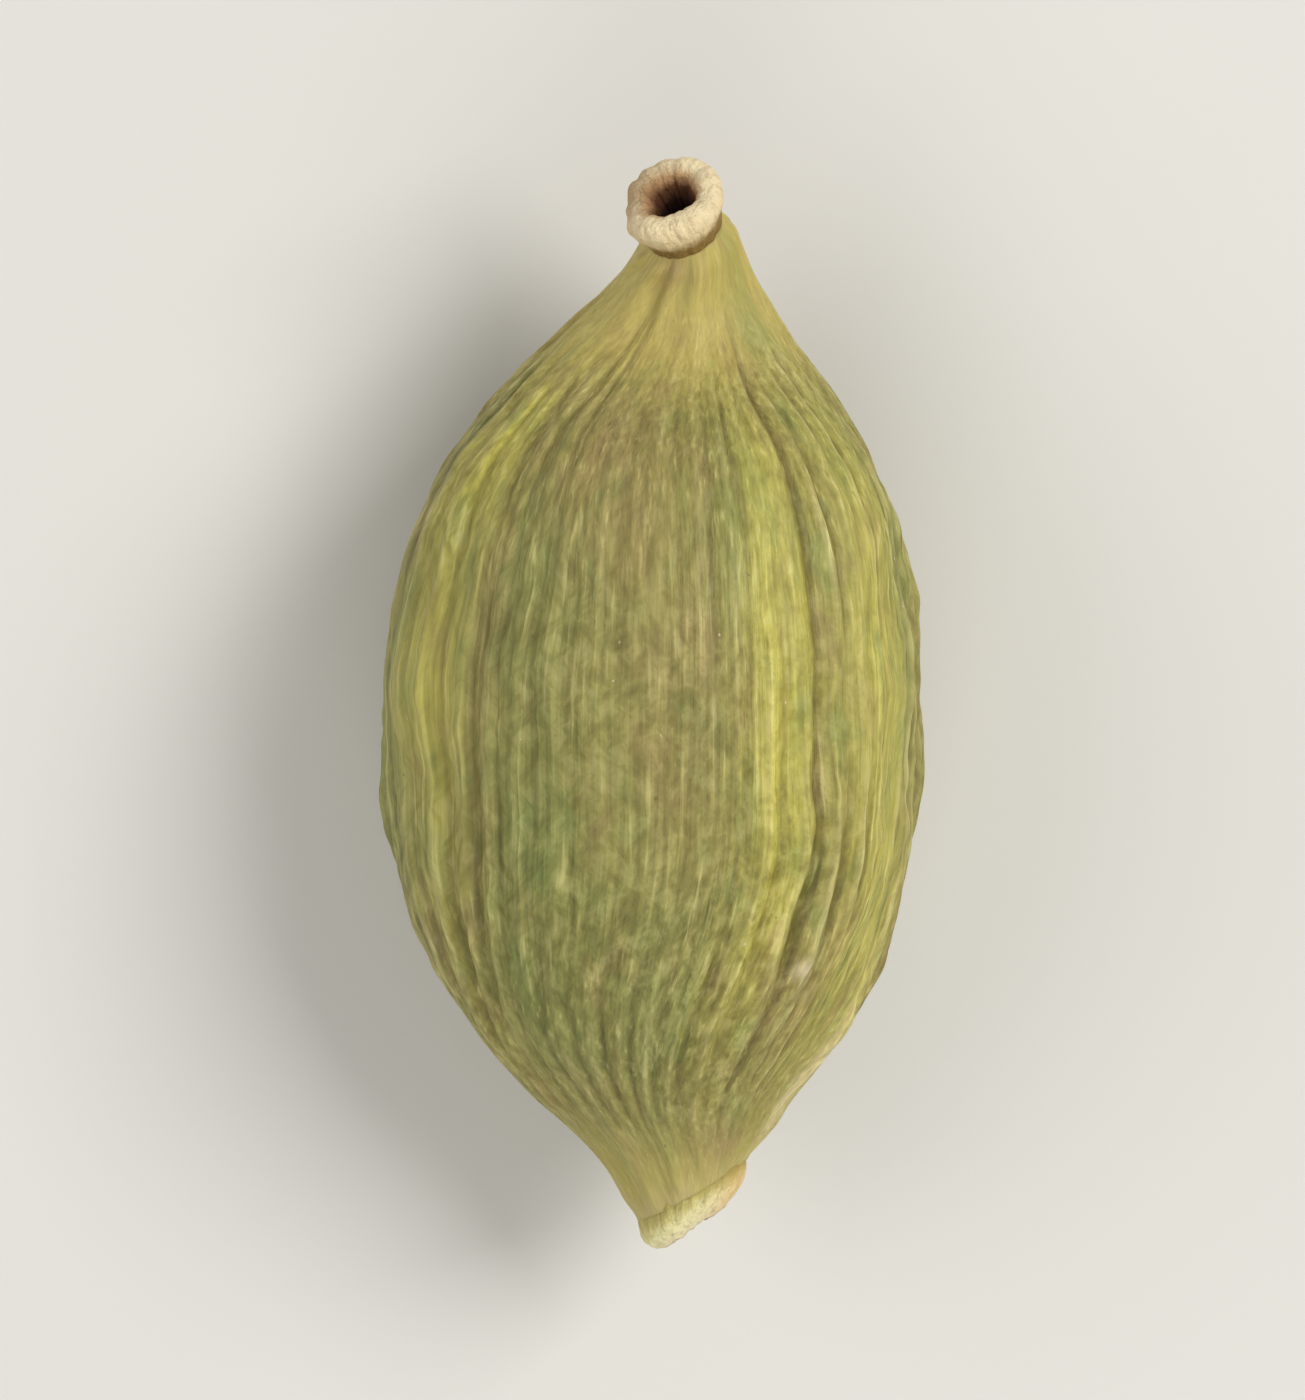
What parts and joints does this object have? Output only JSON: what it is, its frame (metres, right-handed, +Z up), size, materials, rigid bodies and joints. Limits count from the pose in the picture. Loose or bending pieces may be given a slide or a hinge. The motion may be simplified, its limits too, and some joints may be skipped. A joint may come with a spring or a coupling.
{
  "type": "green cardamom pod",
  "caption": "Whole dried cardamom pod: a ribbed, three-sided green capsule with a blunt stalk end and a short upturned beak tipped by a dry, hollow ring.",
  "frame": {"origin": "on the ground, under the middle of the pod's length and width as it lies on its flattest side", "axes": "+Y along the pod from the stalk end to the beak; +Z up, towards the side that the beak turns to; +X across the pod, towards its narrow side"},
  "size_m": [0.0084, 0.0172, 0.0073],
  "materials": {
    "husk_skin": "dry, papery and fibrous, with a faint satin sheen on the ribs",
    "dry_flower": "matt, papery and torn at the rim",
    "stalk_scar": "matt and corky, with a thin pale lip"
  },
  "bodies": {
    "root": {"husk": "husk_skin", "flower_tube": "dry_flower", "stalk_stub": "stalk_scar"}
  },
  "joints": []
}
